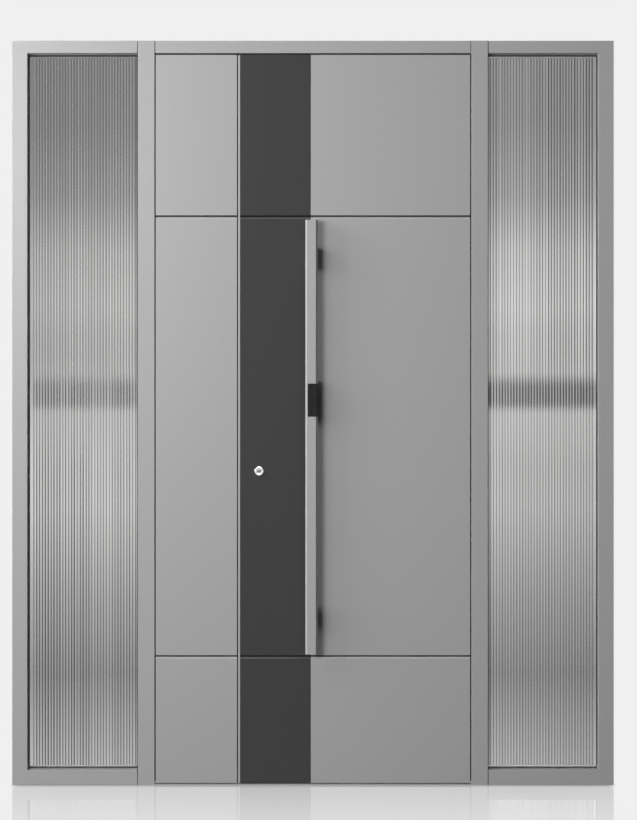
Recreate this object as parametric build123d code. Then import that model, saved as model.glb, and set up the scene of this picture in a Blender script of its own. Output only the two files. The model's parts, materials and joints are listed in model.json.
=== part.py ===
from build123d import *
import os

# Front door in a frame with a fixed sidelight at each side. Millimetres.
# X runs to the right seen from outside, Y runs inward, Z runs up.
# The origin is in the middle of the threshold's underside.

# Overall size
frame_width = 1940.0
frame_height = 2400.0
frame_depth = 90.0

# Face widths seen from outside
jamb_face = 49.0
mullion_face = 54.0
head_face = 40.0
sill_face = 48.0
doorway_width = 1021.0

# Insulated frame profile: outer shell, insulating bars, inner shell
outer_shell_depth = 24.0
frame_break_depth = 26.0
profile_wall = 2.0
break_bar = 5.0
break_inset = 6.0
break_end_gap = 1.0
edge_radius = 1.0
joint_gap = 2.0
cut_past = 1.0

# Glazing
glazing_rebate = 14.0
glass_edge_gap = 4.0
gasket_sight = 1.5
outer_gasket = 4.0
inner_gasket = 3.0
pane_thickness = 6.0
flute_pitch = 9.4
flute_depth = 1.5
flute_margin = 18.0
spacer_depth = 16.0
spacer_width = 7.0
spacer_inset = 2.0
bead_end_gap = 0.4
bead_radius = 3.0

# Doorway
leaf_gap = 3.5
head_gap = 6.0
leaf_overlap = 10.0
rebate_gap = 10.0
lip_relief = 2.5
seal_gap = 6.0
seal_play = 0.5
seal_width = 7.0
seal_base = 2.0
seal_end_gap = 0.6
threshold_height = 3.0
threshold_rib_pitch = 10.0
threshold_rib_groove = 4.0
threshold_rib_depth = 1.0
floor_gap = 3.5

# Leaf
face_thickness = 10.0
inner_face_thickness = 6.0
skin_thickness = 3.0
leaf_break_depth = 24.0
stile_width = 60.0
bottom_rail_height = 100.0
left_panel_width = 262.0
reveal_width = 3.5
trim_width = 6.5
strip_width = 228.0
panel_bevel = 1.0
upper_groove_z = 1831.2
lower_groove_z = 412.8
groove_width = 5.8
groove_depth = 7.0
groove_slope_height = 5.0
groove_slope_depth = 4.0

# Pull bar with its fingerprint reader
bar_offset = 2.8
bar_width = 39.0
bar_depth = 22.0
bar_length = 1387.0
bar_bottom_z = 429.0
bar_standoff = 43.0
bar_chamfer = 5.0
bar_bevel_width = 6.0
bar_bevel_depth = 9.0
bar_side_strip = 7.5
post_width = 27.0
post_height = 66.0
post_inset = 116.0
post_radius = 4.0
reader_height = 105.0
reader_bottom_z = 1188.0
reader_play = 0.3
reader_setback = 0.8
reader_edge = 1.5
reader_base_height = 130.0
sensor_width = 15.0
sensor_height = 52.0
sensor_recess = 1.0
screw_pitch = 82.0
screw_hole_radius = 2.8
screw_hole_depth = 2.0

# Lock and lever
lock_x = -173.5
lock_z = 1012.0
rosette_radius = 15.3
rosette_height = 7.0
rosette_top_radius = 10.0
rosette_rim = 2.0
plug_radius = 8.5
plug_play = 0.3
plug_setback = 0.8
keyway_length = 11.0
keyway_height = 3.6
keyway_depth = 4.0
lever_above_lock = 92.0
lever_rosette_radius = 26.0
lever_rosette_height = 9.0
lever_bar = 12.0
lever_height = 20.0
lever_reach = 60.0
lever_length = 128.0
lever_bend = 18.0
lever_edge = 1.0
forend_width = 20.0
forend_thickness = 3.0
forend_bottom_z = 330.0
forend_top_z = 2050.0
bolt_spacing = 620.0
bolt_height = 34.0
bolt_width = 12.0
bolt_depth = 14.0
bolt_play = 0.4
strike_thickness = 2.0
strike_height = 130.0
strike_play = 3.0

# Hinges
hinge_end_offset = 250.0
knuckle_radius = 9.0
knuckle_height = 55.0
knuckle_gap = 0.4
hinge_offset = 12.0
hinge_pin_radius = 5.0
hinge_pin_play = 0.05
hinge_pin_reach = 45.0
hinge_plate = 4.0
hinge_frame_width = 19.0
hinge_leaf_width = 42.0

# Wall anchor holes in the jambs
anchor_end_offset = 200.0
anchor_radius = 5.25

# Planes across the depth
y_out = -frame_depth / 2
y_in = frame_depth / 2
y_lip = y_out + outer_shell_depth
y_break = y_lip + frame_break_depth
y_crest = y_lip + outer_gasket
y_pane_back = y_crest + pane_thickness
y_inner_pane = y_pane_back + spacer_depth
y_inner_gasket = y_inner_pane + pane_thickness
y_bead = y_inner_gasket + inner_gasket
y_step = y_lip + seal_gap
y_face_back = y_out + face_thickness
y_leaf_break = y_step + leaf_break_depth
y_inner_face = y_in - inner_face_thickness

# Lines across the width, on the right half
x_wall = frame_width / 2
x_jamb = x_wall - jamb_face
x_jamb_inner = x_jamb + glazing_rebate
x_door = doorway_width / 2
x_mullion = x_door + mullion_face
x_mullion_inner = x_mullion - glazing_rebate
x_rebate = x_door + leaf_overlap + rebate_gap
x_leaf = x_door - leaf_gap
x_leaf_wide = x_door + leaf_overlap
x_leaf_field = x_leaf - stile_width

# Levels
z_head = frame_height - head_face
z_head_inner = z_head + glazing_rebate
z_sill_inner = sill_face - glazing_rebate
z_head_rebate = z_head + leaf_overlap + rebate_gap
z_leaf_bottom = threshold_height + floor_gap
z_leaf = z_head - head_gap
z_leaf_wide = z_head + leaf_overlap
z_leaf_field_top = z_leaf - stile_width
z_leaf_field_bottom = z_leaf_bottom + bottom_rail_height

# Left pane of the sidelights
x_pane = -x_jamb_inner + glass_edge_gap
x_pane_end = -x_mullion_inner - glass_edge_gap
z_pane = z_sill_inner + glass_edge_gap
z_pane_top = z_head_inner - glass_edge_gap

# Lines across the leaf's outer face
x_panel_end = -x_leaf + left_panel_width
x_trim = x_panel_end + reveal_width
x_strip = x_trim + trim_width
x_strip_end = x_strip + strip_width

# Pull bar
bar_x = x_strip_end + bar_offset
y_bar_back = y_out - bar_standoff
y_bar_front = y_bar_back - bar_depth
bar_top_z = bar_bottom_z + bar_length
x_bar = bar_x - bar_width / 2
x_bar_end = bar_x + bar_width / 2
x_reader = x_bar + bar_side_strip
reader_z = reader_bottom_z + reader_height / 2

# Lock edge
lever_z = lock_z + lever_above_lock
y_forend = (y_step + y_leaf_break) / 2
bolt_levels = [lever_z - bolt_spacing, lever_z, lever_z + bolt_spacing]

# Hinge axis and levels
hinge_x = (x_leaf_wide + x_rebate) / 2
hinge_y = y_in + hinge_offset
hinge_levels = [z_leaf_bottom + hinge_end_offset, (z_leaf_bottom + z_leaf) / 2, z_leaf - hinge_end_offset]

# Wall anchors
anchor_y = (y_break + y_in) / 2
anchor_levels = [anchor_end_offset, frame_height / 2, frame_height - anchor_end_offset]


def block(x0, x1, y0, y1, z0, z1):
    return Pos((x0 + x1) / 2, (y0 + y1) / 2, (z0 + z1) / 2) * Box(x1 - x0, y1 - y0, z1 - z0)


def ring(x0, x1, y0, y1, z0, z1, side):
    opening = block(x0 + side, x1 - side, y0 - cut_past, y1 + cut_past, z0 + side, z1 - side)
    return block(x0, x1, y0, y1, z0, z1) - opening


def edges_at(shape, run, x=None, y=None, z=None):
    found = []
    for edge in shape.edges().filter_by(run):
        c = edge.center()
        pairs = [(c.X, x), (c.Y, y), (c.Z, z)]
        if all(wanted is None or abs(have - wanted) < 0.01 for have, wanted in pairs):
            found.append(edge)
    return found


def soften(shape, run, y):
    return fillet(edges_at(shape, run, y=y), edge_radius)


def upright(x0, x1, y0, y1, z0, z1):
    w = profile_wall
    hollow = block(x0 + w, x1 - w, y0 + w, y1 - w, z0 - cut_past, z1 + cut_past)
    return block(x0, x1, y0, y1, z0, z1) - hollow


def level(x0, x1, y0, y1, z0, z1):
    w = profile_wall
    hollow = block(x0 - cut_past, x1 + cut_past, y0 + w, y1 - w, z0 + w, z1 - w)
    return block(x0, x1, y0, y1, z0, z1) - hollow


def front_outline(points):
    face = make_face(Polyline([(x, y_out - cut_past, z) for x, z in points], close=True))
    return extrude(face, amount=frame_depth + 2 * cut_past, dir=(0, 1, 0))


def plan(points, z0, z1):
    face = make_face(Polyline([(x, y, z0) for x, y in points], close=True))
    return extrude(face, amount=z1 - z0, dir=(0, 0, 1))


def side_profile(points, x0, x1):
    face = make_face(Polyline([(x0, y, z) for y, z in points], close=True))
    return extrude(face, amount=x1 - x0, dir=(1, 0, 0))


def rod(radius, start, direction, length):
    return Plane(start, z_dir=direction) * Cylinder(
        radius, length, align=(Align.CENTER, Align.CENTER, Align.MIN)
    )


def across(shape):
    return mirror(shape, about=Plane.YZ)


def save(name, *solids):
    shape = solids[0] if len(solids) == 1 else Compound(children=list(solids))
    export_step(shape, f"parts/{name}.step")


def save_pair(left_name, right_name, *left_solids):
    save(left_name, *left_solids)
    save(right_name, *[across(s) for s in left_solids])


def jamb_shells():
    outer = soften(upright(-x_wall, -x_jamb, y_out, y_lip, 0, frame_height), Axis.Z, y_out)
    outer = outer & front_outline(
        [(-x_wall, 0), (-x_wall, frame_height), (-x_jamb, z_head), (-x_jamb, sill_face)]
    )
    inner = soften(upright(-x_wall, -x_jamb_inner, y_break, y_in, 0, frame_height), Axis.Z, y_in)
    inner = inner & front_outline(
        [(-x_wall, 0), (-x_wall, frame_height), (-x_jamb_inner, z_head_inner), (-x_jamb_inner, z_sill_inner)]
    )
    for z in anchor_levels:
        inner -= rod(anchor_radius, (-x_wall - cut_past, anchor_y, z), (1, 0, 0), jamb_face)
    return outer, inner


def mullion_shells():
    outline = [(-x_mullion, y_out), (-x_door, y_out), (-x_door - lip_relief, y_lip), (-x_mullion, y_lip)]
    outer = soften(plan(outline, 0, frame_height), Axis.Z, y_out)
    w = profile_wall
    x0 = -x_mullion + w
    x1 = -x_door - lip_relief - w
    outer -= block(x0, x1, y_out + w, y_lip - w, -cut_past, frame_height + cut_past)
    inner = soften(upright(-x_mullion_inner, -x_rebate, y_break, y_in, 0, frame_height), Axis.Z, y_in)
    return outer, inner


def side_head_shells():
    outer = level(-x_wall, -x_mullion - joint_gap, y_out, y_lip, z_head, frame_height)
    outer = soften(outer, Axis.X, y_out) & front_outline(
        [(-x_wall, frame_height), (-x_jamb, z_head), (0, z_head), (0, frame_height)]
    )
    inner = level(-x_wall, -x_mullion_inner, y_break, y_in, z_head_inner, frame_height)
    inner = soften(inner, Axis.X, y_in) & front_outline(
        [(-x_wall, frame_height), (-x_jamb_inner, z_head_inner), (0, z_head_inner), (0, frame_height)]
    )
    return outer, inner


def side_sill_shells():
    outer = level(-x_wall, -x_mullion - joint_gap, y_out, y_lip, 0, sill_face)
    outer = soften(outer, Axis.X, y_out) & front_outline(
        [(-x_wall, 0), (-x_jamb, sill_face), (0, sill_face), (0, 0)]
    )
    inner = level(-x_wall, -x_mullion_inner, y_break, y_in, 0, z_sill_inner)
    inner = soften(inner, Axis.X, y_in) & front_outline(
        [(-x_wall, 0), (-x_jamb_inner, z_sill_inner), (0, z_sill_inner), (0, 0)]
    )
    return outer, inner


def door_head_shells():
    end = x_door - joint_gap
    outer = soften(level(-end, end, y_out, y_lip, z_head, frame_height), Axis.X, y_out)
    inner = soften(level(-x_rebate, x_rebate, y_break, y_in, z_head_rebate, frame_height), Axis.X, y_in)
    return outer, inner


def side_break_bars():
    b = break_bar
    g = break_end_gap
    bars = []
    for x in [-x_wall + break_inset, -x_jamb_inner - b, -x_mullion_inner, -x_rebate - b]:
        bars.append(block(x, x + b, y_lip, y_break, 0, frame_height))
    x0 = -x_jamb_inner + g
    x1 = -x_mullion_inner - g
    for z in [break_inset, z_sill_inner - b, z_head_inner, frame_height - break_inset - b]:
        bars.append(block(x0, x1, y_lip, y_break, z, z + b))
    return bars


def door_head_break_bars():
    b = break_bar
    end = x_rebate - break_end_gap
    return [block(-end, end, y_lip, y_break, z_head_rebate, z_head_rebate + b)]


def threshold():
    count = int((frame_depth - threshold_rib_pitch) // threshold_rib_pitch)
    shape = block(-x_door, x_door, y_out, y_in, 0, threshold_height)
    for i in range(count):
        y = (i - (count - 1) / 2) * threshold_rib_pitch
        half = threshold_rib_groove / 2
        x = x_door + cut_past
        top = threshold_height
        shape -= block(-x, x, y - half, y + half, top - threshold_rib_depth, top + cut_past)
    return shape


def fluted_pane():
    count = int((x_pane_end - x_pane - 2 * flute_margin) // flute_pitch)
    margin = (x_pane_end - x_pane - count * flute_pitch) / 2
    y_valley = y_crest + flute_depth
    x = x_pane + margin
    lines = [
        Line((x_pane_end, y_valley, z_pane), (x_pane_end, y_pane_back, z_pane)),
        Line((x_pane_end, y_pane_back, z_pane), (x_pane, y_pane_back, z_pane)),
        Line((x_pane, y_pane_back, z_pane), (x_pane, y_valley, z_pane)),
        Line((x_pane, y_valley, z_pane), (x, y_valley, z_pane)),
    ]
    for i in range(count):
        lines.append(
            ThreePointArc(
                (x, y_valley, z_pane),
                (x + flute_pitch / 2, y_crest, z_pane),
                (x + flute_pitch, y_valley, z_pane),
            )
        )
        x += flute_pitch
    lines.append(Line((x, y_valley, z_pane), (x_pane_end, y_valley, z_pane)))
    face = make_face(Wire(lines))
    return extrude(face, amount=z_pane_top - z_pane, dir=(0, 0, 1))


def inner_pane():
    return block(x_pane, x_pane_end, y_inner_pane, y_inner_gasket, z_pane, z_pane_top)


def glass_spacer():
    s = spacer_inset
    return ring(
        x_pane + s, x_pane_end - s, y_pane_back, y_inner_pane, z_pane + s, z_pane_top - s, spacer_width
    )


def glazing_gasket(y0, y1):
    outline = block(x_pane, x_pane_end, y0, y1, z_pane, z_pane_top)
    s = gasket_sight
    sight = block(-x_jamb + s, -x_mullion - s, y0 - cut_past, y1 + cut_past, sill_face + s, z_head - s)
    return outline - sight


def glazing_beads():
    g = bead_end_gap
    z0 = sill_face + g
    z1 = z_head - g
    at_jamb = block(-x_jamb_inner, -x_jamb, y_bead, y_in, z0, z1)
    at_mullion = block(-x_mullion, -x_mullion_inner, y_bead, y_in, z0, z1)
    at_sill = block(-x_jamb_inner, -x_mullion_inner, y_bead, y_in, z_sill_inner, sill_face)
    at_head = block(-x_jamb_inner, -x_mullion_inner, y_bead, y_in, z_head, z_head_inner)
    return [
        fillet(edges_at(at_jamb, Axis.Z, x=-x_jamb, y=y_in), bead_radius),
        fillet(edges_at(at_mullion, Axis.Z, x=-x_mullion, y=y_in), bead_radius),
        fillet(edges_at(at_sill, Axis.X, y=y_in, z=sill_face), bead_radius),
        fillet(edges_at(at_head, Axis.X, y=y_in, z=z_head), bead_radius),
    ]


def seal_strip(plane, length):
    w = seal_width
    h = seal_gap - seal_play
    outline = [
        Line((0, seal_base), (0, 0)),
        Line((0, 0), (w, 0)),
        Line((w, 0), (w, seal_base)),
        ThreePointArc((w, seal_base), (w / 2, h), (0, seal_base)),
    ]
    return plane * extrude(make_face(Wire(outline)), amount=length)


def door_seals():
    inner = x_leaf_wide - (leaf_overlap - lip_relief) / 2 - seal_width / 2
    outer = inner + seal_width
    z0 = z_leaf_bottom
    z1 = z_head + inner - x_door
    z2 = z1 + seal_width
    g = seal_end_gap
    left = seal_strip(Plane((-outer, y_lip, z0), x_dir=(1, 0, 0), z_dir=(0, 0, 1)), z2 - z0)
    left = left & front_outline([(-outer, z0), (-outer, z2), (-inner, z1), (-inner, z0)])
    top = seal_strip(Plane((outer, y_lip, z1), x_dir=(0, 0, 1), z_dir=(-1, 0, 0)), 2 * outer)
    top = top & front_outline([(-outer + g, z2), (outer - g, z2), (inner - g, z1), (-inner + g, z1)])
    return [left, across(left), top]


def strike_plate(level):
    half = forend_width / 2
    z0 = level - strike_height / 2
    plate = block(
        -x_rebate, -x_rebate + strike_thickness, y_forend - half, y_forend + half, z0, z0 + strike_height
    )
    w = bolt_width / 2 + strike_play
    h = bolt_height / 2 + strike_play
    x0 = -x_rebate - cut_past
    return plate - block(x0, -x_door, y_forend - w, y_forend + w, level - h, level + h)


def hinge_half(x_plate, z0, z1):
    barrel = rod(knuckle_radius, (hinge_x, hinge_y, z0), (0, 0, 1), z1 - z0)
    x0 = min(hinge_x, x_plate)
    x1 = max(hinge_x, x_plate)
    plate = block(x0, x1, y_in, y_in + hinge_plate, z0, z1)
    side = 1 if x_plate > hinge_x else -1
    web = plan(
        [
            (hinge_x, y_in),
            (hinge_x + side * knuckle_radius, hinge_y),
            (hinge_x + side * (knuckle_radius + hinge_plate), y_in),
        ],
        z0,
        z1,
    )
    return barrel + plate + web


def frame_hinge_halves():
    halves = []
    for z in hinge_levels:
        half = hinge_half(x_rebate + hinge_frame_width, z - knuckle_height, z - knuckle_gap / 2)
        pin = rod(hinge_pin_radius, (hinge_x, hinge_y, z - knuckle_gap), (0, 0, 1), hinge_pin_reach)
        halves.append(half + pin)
    return halves


def leaf_hinge_halves():
    halves = []
    for z in hinge_levels:
        half = hinge_half(x_leaf_wide - hinge_leaf_width, z + knuckle_gap / 2, z + knuckle_height)
        radius = hinge_pin_radius + hinge_pin_play
        start = (hinge_x, hinge_y, z - cut_past)
        halves.append(half - rod(radius, start, (0, 0, 1), hinge_pin_reach + 2 * cut_past))
    return halves


def horizontal_groove(x0, x1, z):
    return side_profile(
        [
            (y_out - cut_past, z + groove_width),
            (y_out + groove_depth, z + groove_width),
            (y_out + groove_depth, z),
            (y_out + groove_slope_depth, z),
            (y_out, z - groove_slope_height),
            (y_out - cut_past, z - groove_slope_height),
        ],
        x0 - cut_past,
        x1 + cut_past,
    )


def face_sheet(x0, x1):
    sheet = block(x0, x1, y_out, y_face_back, z_leaf_bottom, z_leaf)
    for z in [upper_groove_z, lower_groove_z]:
        sheet -= horizontal_groove(x0, x1, z)
    return sheet


def right_face_sheet():
    x0 = x_strip_end - cut_past
    y0 = y_out - cut_past
    size = panel_bevel + 2 * cut_past
    bevel = plan(
        [(x0, y0), (x0 + size, y0), (x0, y0 + size)], z_leaf_bottom - cut_past, z_leaf + cut_past
    )
    return face_sheet(x_strip_end, x_leaf) - bevel


def leaf_stile(edge, wide, field):
    z0 = z_leaf_bottom
    outer = upright(edge, field, y_face_back, y_step, z0, z_leaf) & front_outline(
        [(edge, z0), (edge, z_leaf), (field, z_leaf_field_top), (field, z_leaf_field_bottom)]
    )
    inner = upright(wide, field, y_leaf_break, y_inner_face, z0, z_leaf_wide) & front_outline(
        [(wide, z0), (wide, z_leaf_wide), (field, z_leaf_field_top), (field, z_leaf_field_bottom)]
    )
    return [outer, inner]


def leaf_rail(z_edge, z_wide, z_field):
    outer = (x_leaf, z_edge, y_face_back, y_step)
    inner = (x_leaf_wide, z_wide, y_leaf_break, y_inner_face)
    shells = []
    for x, z, y0, y1 in [outer, inner]:
        tube = level(-x, x, y0, y1, min(z, z_field), max(z, z_field))
        outline = [(-x, z), (x, z), (x_leaf_field, z_field), (-x_leaf_field, z_field)]
        shells.append(tube & front_outline(outline))
    return shells


def forend_recess():
    half = forend_width / 2
    x0 = -x_leaf_wide
    return block(
        x0, x0 + forend_thickness, y_forend - half, y_forend + half, forend_bottom_z, forend_top_z
    )


def lock_bolt(level, play):
    w = bolt_width / 2 + play
    h = bolt_height / 2 + play
    x0 = -x_leaf_wide
    return block(x0, x0 + bolt_depth, y_forend - w, y_forend + w, level - h, level + h)


def bolted(shape):
    for level in bolt_levels:
        shape -= lock_bolt(level, bolt_play)
    return shape


def leaf_thermal_breaks():
    x = x_leaf_field
    g = break_end_gap
    lock_side = block(-x_leaf_wide, -x, y_step, y_leaf_break, z_leaf_bottom, z_leaf_wide)
    hinge_side = across(lock_side)
    top = block(-x + g, x - g, y_step, y_leaf_break, z_leaf_field_top, z_leaf_wide)
    bottom = block(-x + g, x - g, y_step, y_leaf_break, z_leaf_bottom, z_leaf_field_bottom)
    return [bolted(lock_side - forend_recess()), hinge_side, top, bottom]


def leaf_outer_skin():
    x = x_leaf_field
    return block(-x, x, y_face_back, y_face_back + skin_thickness, z_leaf_field_bottom, z_leaf_field_top)


def bar_section(x0, x1, y0, left):
    return [
        (x0, y_bar_back),
        (x0, y0 + left),
        (x0 + left, y0),
        (x1 - bar_bevel_width, y0),
        (x1, y0 + bar_bevel_depth),
        (x1, y_bar_back),
    ]


def pull_bar():
    section = bar_section(x_bar, x_bar_end, y_bar_front, bar_chamfer)
    notch = block(
        x_reader,
        x_bar_end + cut_past,
        y_bar_front - cut_past,
        y_bar_back + cut_past,
        reader_bottom_z - reader_play,
        reader_bottom_z + reader_height + reader_play,
    )
    return plan(section, bar_bottom_z, bar_top_z) - notch


def bar_post(z, height):
    half = post_width / 2
    post = block(bar_x - half, bar_x + half, y_bar_back, y_out, z - height / 2, z + height / 2)
    return fillet(post.edges().filter_by(Axis.Y), post_radius)


def fingerprint_reader():
    y0 = y_bar_front + reader_setback
    section = bar_section(x_reader, x_bar_end, y0, reader_edge)
    shape = plan(section, reader_bottom_z, reader_bottom_z + reader_height)
    shape = chamfer(edges_at(shape, Axis.X, y=y0), reader_edge)
    shape += bar_post(reader_z, reader_base_height)
    x = (x_reader + x_bar_end - bar_bevel_width) / 2
    shape -= block(
        x - sensor_width / 2,
        x + sensor_width / 2,
        y0 - cut_past,
        y0 + sensor_recess,
        reader_z - sensor_height / 2,
        reader_z + sensor_height / 2,
    )
    for side in [-1, 1]:
        start = (x, y0 - cut_past, reader_z + side * screw_pitch / 2)
        shape -= rod(screw_hole_radius, start, (0, 1, 0), screw_hole_depth + cut_past)
    return shape


def rosette(y_base, out):
    profile = Polyline(
        [
            (plug_radius + plug_play, 0),
            (rosette_radius, 0),
            (rosette_radius, rosette_rim),
            (rosette_top_radius, rosette_height),
            (plug_radius + plug_play, rosette_height),
        ],
        close=True,
    )
    turned = Pos(lock_x, y_base, lock_z) * revolve(make_face(profile), Axis.Y)
    return turned if out > 0 else mirror(turned, about=Plane((0, y_base, 0), z_dir=(0, 1, 0)))


def lock_plug(y_base, out):
    height = rosette_height - plug_setback
    plug = rod(plug_radius, (lock_x, y_base, lock_z), (0, out, 0), height)
    y_bottom = y_base + out * (height - keyway_depth)
    y_past = y_base + out * (height + cut_past)
    keyway = block(
        lock_x - keyway_length / 2,
        lock_x + keyway_length / 2,
        min(y_bottom, y_past),
        max(y_bottom, y_past),
        lock_z - keyway_height / 2,
        lock_z + keyway_height / 2,
    )
    return plug - keyway


def lever_rosette():
    return rod(lever_rosette_radius, (lock_x, y_in, lever_z), (0, 1, 0), lever_rosette_height)


def lever():
    y0 = y_in + lever_rosette_height
    y1 = y_in + lever_reach
    x0 = lock_x - lever_bar / 2
    x1 = lock_x + lever_length
    b = lever_bar
    z0 = lever_z - lever_height / 2
    bar = plan(
        [(x0, y0), (x0 + b, y0), (x0 + b, y1 - b), (x1, y1 - b), (x1, y1), (x0, y1)], z0, z0 + lever_height
    )
    bar = chamfer(edges_at(bar, Axis.Z, x=x1), lever_edge)
    bar = fillet(edges_at(bar, Axis.Z, x=x0, y=y1), lever_bend)
    return fillet(edges_at(bar, Axis.Z, x=x0 + b, y=y1 - b), lever_bend - lever_bar)


os.makedirs("parts", exist_ok=True)

save_pair("left_jamb", "right_jamb", *jamb_shells())
save_pair("left_mullion", "right_mullion", *mullion_shells())
save_pair("left_head_rail", "right_head_rail", *side_head_shells())
save("door_head_rail", *door_head_shells())
save_pair("left_sill_rail", "right_sill_rail", *side_sill_shells())
left_bars = side_break_bars()
save("frame_thermal_breaks", *left_bars, *[across(b) for b in left_bars], *door_head_break_bars())
save("threshold", threshold())
save_pair("left_fluted_pane", "right_fluted_pane", fluted_pane())
save_pair("left_inner_pane", "right_inner_pane", inner_pane())
save("glass_spacers", glass_spacer(), across(glass_spacer()))
left_outer_gasket = glazing_gasket(y_lip, y_crest)
left_inner_gasket = glazing_gasket(y_inner_gasket, y_bead)
save("outer_glazing_gaskets", left_outer_gasket, across(left_outer_gasket))
save("inner_glazing_gaskets", left_inner_gasket, across(left_inner_gasket))
save_pair("left_glazing_beads", "right_glazing_beads", *glazing_beads())
save("door_seals", *door_seals())
save("strike_plates", *[strike_plate(level) for level in bolt_levels])
save("frame_hinge_halves", *frame_hinge_halves())

save("left_face_panel", face_sheet(-x_leaf, x_panel_end))
save("accent_trim", block(x_trim, x_strip, y_out, y_face_back, z_leaf_bottom, z_leaf))
save("accent_strip", face_sheet(x_strip, x_strip_end))
save("right_face_panel", right_face_sheet())
save_pair("leaf_lock_stile", "leaf_hinge_stile", *leaf_stile(-x_leaf, -x_leaf_wide, -x_leaf_field))
save("leaf_top_rail", *leaf_rail(z_leaf, z_leaf_wide, z_leaf_field_top))
save("leaf_bottom_rail", *leaf_rail(z_leaf_bottom, z_leaf_bottom, z_leaf_field_bottom))
save("leaf_thermal_breaks", *leaf_thermal_breaks())
save("leaf_outer_skin", leaf_outer_skin())
save(
    "inner_face_panel",
    block(-x_leaf_wide, x_leaf_wide, y_inner_face, y_in, z_leaf_bottom, z_leaf_wide),
)
save("pull_bar", pull_bar())
lower_post = bar_post(bar_bottom_z + post_inset, post_height)
upper_post = bar_post(bar_top_z - post_inset, post_height)
save("pull_bar_posts", lower_post, upper_post)
save("fingerprint_reader", fingerprint_reader())
save("lock_rosettes", rosette(y_out, -1), rosette(y_in, 1))
save("lock_plugs", lock_plug(y_out, -1), lock_plug(y_in, 1))
save("inner_lever_rosette", lever_rosette())
save("inner_lever", lever())
save("lock_forend", bolted(forend_recess()))
save("lock_bolts", *[lock_bolt(level, 0) for level in bolt_levels])
save("leaf_hinge_halves", *leaf_hinge_halves())
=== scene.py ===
import json
import math
import random

import bmesh
import bpy
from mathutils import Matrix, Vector


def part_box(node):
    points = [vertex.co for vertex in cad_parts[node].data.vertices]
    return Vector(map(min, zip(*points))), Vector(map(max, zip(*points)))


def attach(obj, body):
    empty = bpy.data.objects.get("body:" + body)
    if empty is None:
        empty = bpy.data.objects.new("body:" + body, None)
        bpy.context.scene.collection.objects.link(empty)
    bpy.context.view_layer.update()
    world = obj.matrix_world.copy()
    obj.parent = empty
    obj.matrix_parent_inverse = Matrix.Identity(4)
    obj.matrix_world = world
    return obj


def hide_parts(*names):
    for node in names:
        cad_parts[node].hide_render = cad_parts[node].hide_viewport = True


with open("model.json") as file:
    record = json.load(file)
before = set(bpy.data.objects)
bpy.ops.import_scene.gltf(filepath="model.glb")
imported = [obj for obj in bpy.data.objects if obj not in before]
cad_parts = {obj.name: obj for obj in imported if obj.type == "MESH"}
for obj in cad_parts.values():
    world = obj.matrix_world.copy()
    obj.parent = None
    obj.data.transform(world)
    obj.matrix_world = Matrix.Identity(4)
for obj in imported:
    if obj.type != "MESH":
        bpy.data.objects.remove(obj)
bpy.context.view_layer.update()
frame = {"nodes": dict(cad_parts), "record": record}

NODES = frame["nodes"]

# Viewpoint of the photograph: image height in pixels, other lengths in metres
PHOTO_HEIGHT_PX = 820
METRES_PER_PX = 0.0032245
CAMERA_X = 0.018
CAMERA_Z = 1.209
CAMERA_DISTANCE = 6.0
SENSOR_MM = 36.0

# Colours, linear
PALE = (0.871, 0.871, 0.871)
GREY = (0.337, 0.336, 0.341)
HANDLE_GREY = (0.345, 0.345, 0.348)
ANTHRACITE = (0.038, 0.038, 0.0397)
BLACK = (0.010, 0.010, 0.0105)
RUBBER_BLACK = (0.008, 0.008, 0.0084)
SHADED_GREY = (0.055, 0.055, 0.056)
SPACER_GREY = (0.42, 0.42, 0.42)
GASKET_GREY = (0.22, 0.22, 0.22)
STEEL = (0.60, 0.60, 0.59)
BRIGHT_STEEL = (0.92, 0.92, 0.92)
GLASS_TINT = (0.95, 0.95, 0.945)

# Surface grain: noise scales per metre, heights in metres, spreads as shares of the colour
COAT_CLOUD = 1.7
COAT_PEEL = 420.0
COAT_SPECK = 1900.0
COAT_SPREAD = 0.045
COAT_SHEEN = 0.20
PEEL_HEIGHT = 0.0003
SPECK_HEIGHT = 0.0001
SKIN_CLOUD = 9.0
SKIN_SPREAD = 0.15
SKIN_HEIGHT = 0.0002
MATT_SHEEN = 0.22
RUBBER_SKIN = (0.62, 0.74, 600.0, 0.12)
METAL_SHADES = (0.93, 1.05)
METAL_HEIGHT = 0.0001
GLASS_RIPPLE = 9.0
GLASS_CLOUD = 2.2
GLASS_SHADE = 0.985
GLASS_HEIGHT = 0.0004
GLASS_IOR = 1.5

# Flutes of the outer panes: sizes, then how much they differ from one to the next
FLUTE_PITCH = 0.0094
FLUTE_DEPTH = 0.0015
FLUTE_COUNT = 36
FLUTE_STEPS = 14
FLUTE_ROWS = 36
FLUTE_SHARES = (0.55, 1.0)
FLUTE_LEAN = 0.35
FLUTE_FULL = 0.93
FLUTE_SWELL = 0.06
FLUTE_SWELL_RATE = 2.3
FLUTE_SMOOTH_ANGLE = 1.2

# Part of the outer glazing rings that lies along the sill and the head
GASKET_END = 0.02
GASKET_FADE = 0.001

# Painted shade in the leaf's grooves, as dark liners along their bottoms, and a black strip that paints
# the shade in the reveal beside the accent strip
GROOVE_LEVELS = (0.4128, 1.8312)
GROOVE_HEIGHT = 0.0058
GROOVE_DEPTH = 0.007
STRIP_DEPTH = 0.0025
FIT = 0.0001

# Seals in the frame's joints
JOINT_GAP = 0.002
JOINT_SETBACK = 0.003
JOINT_DEPTH = 0.017

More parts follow.
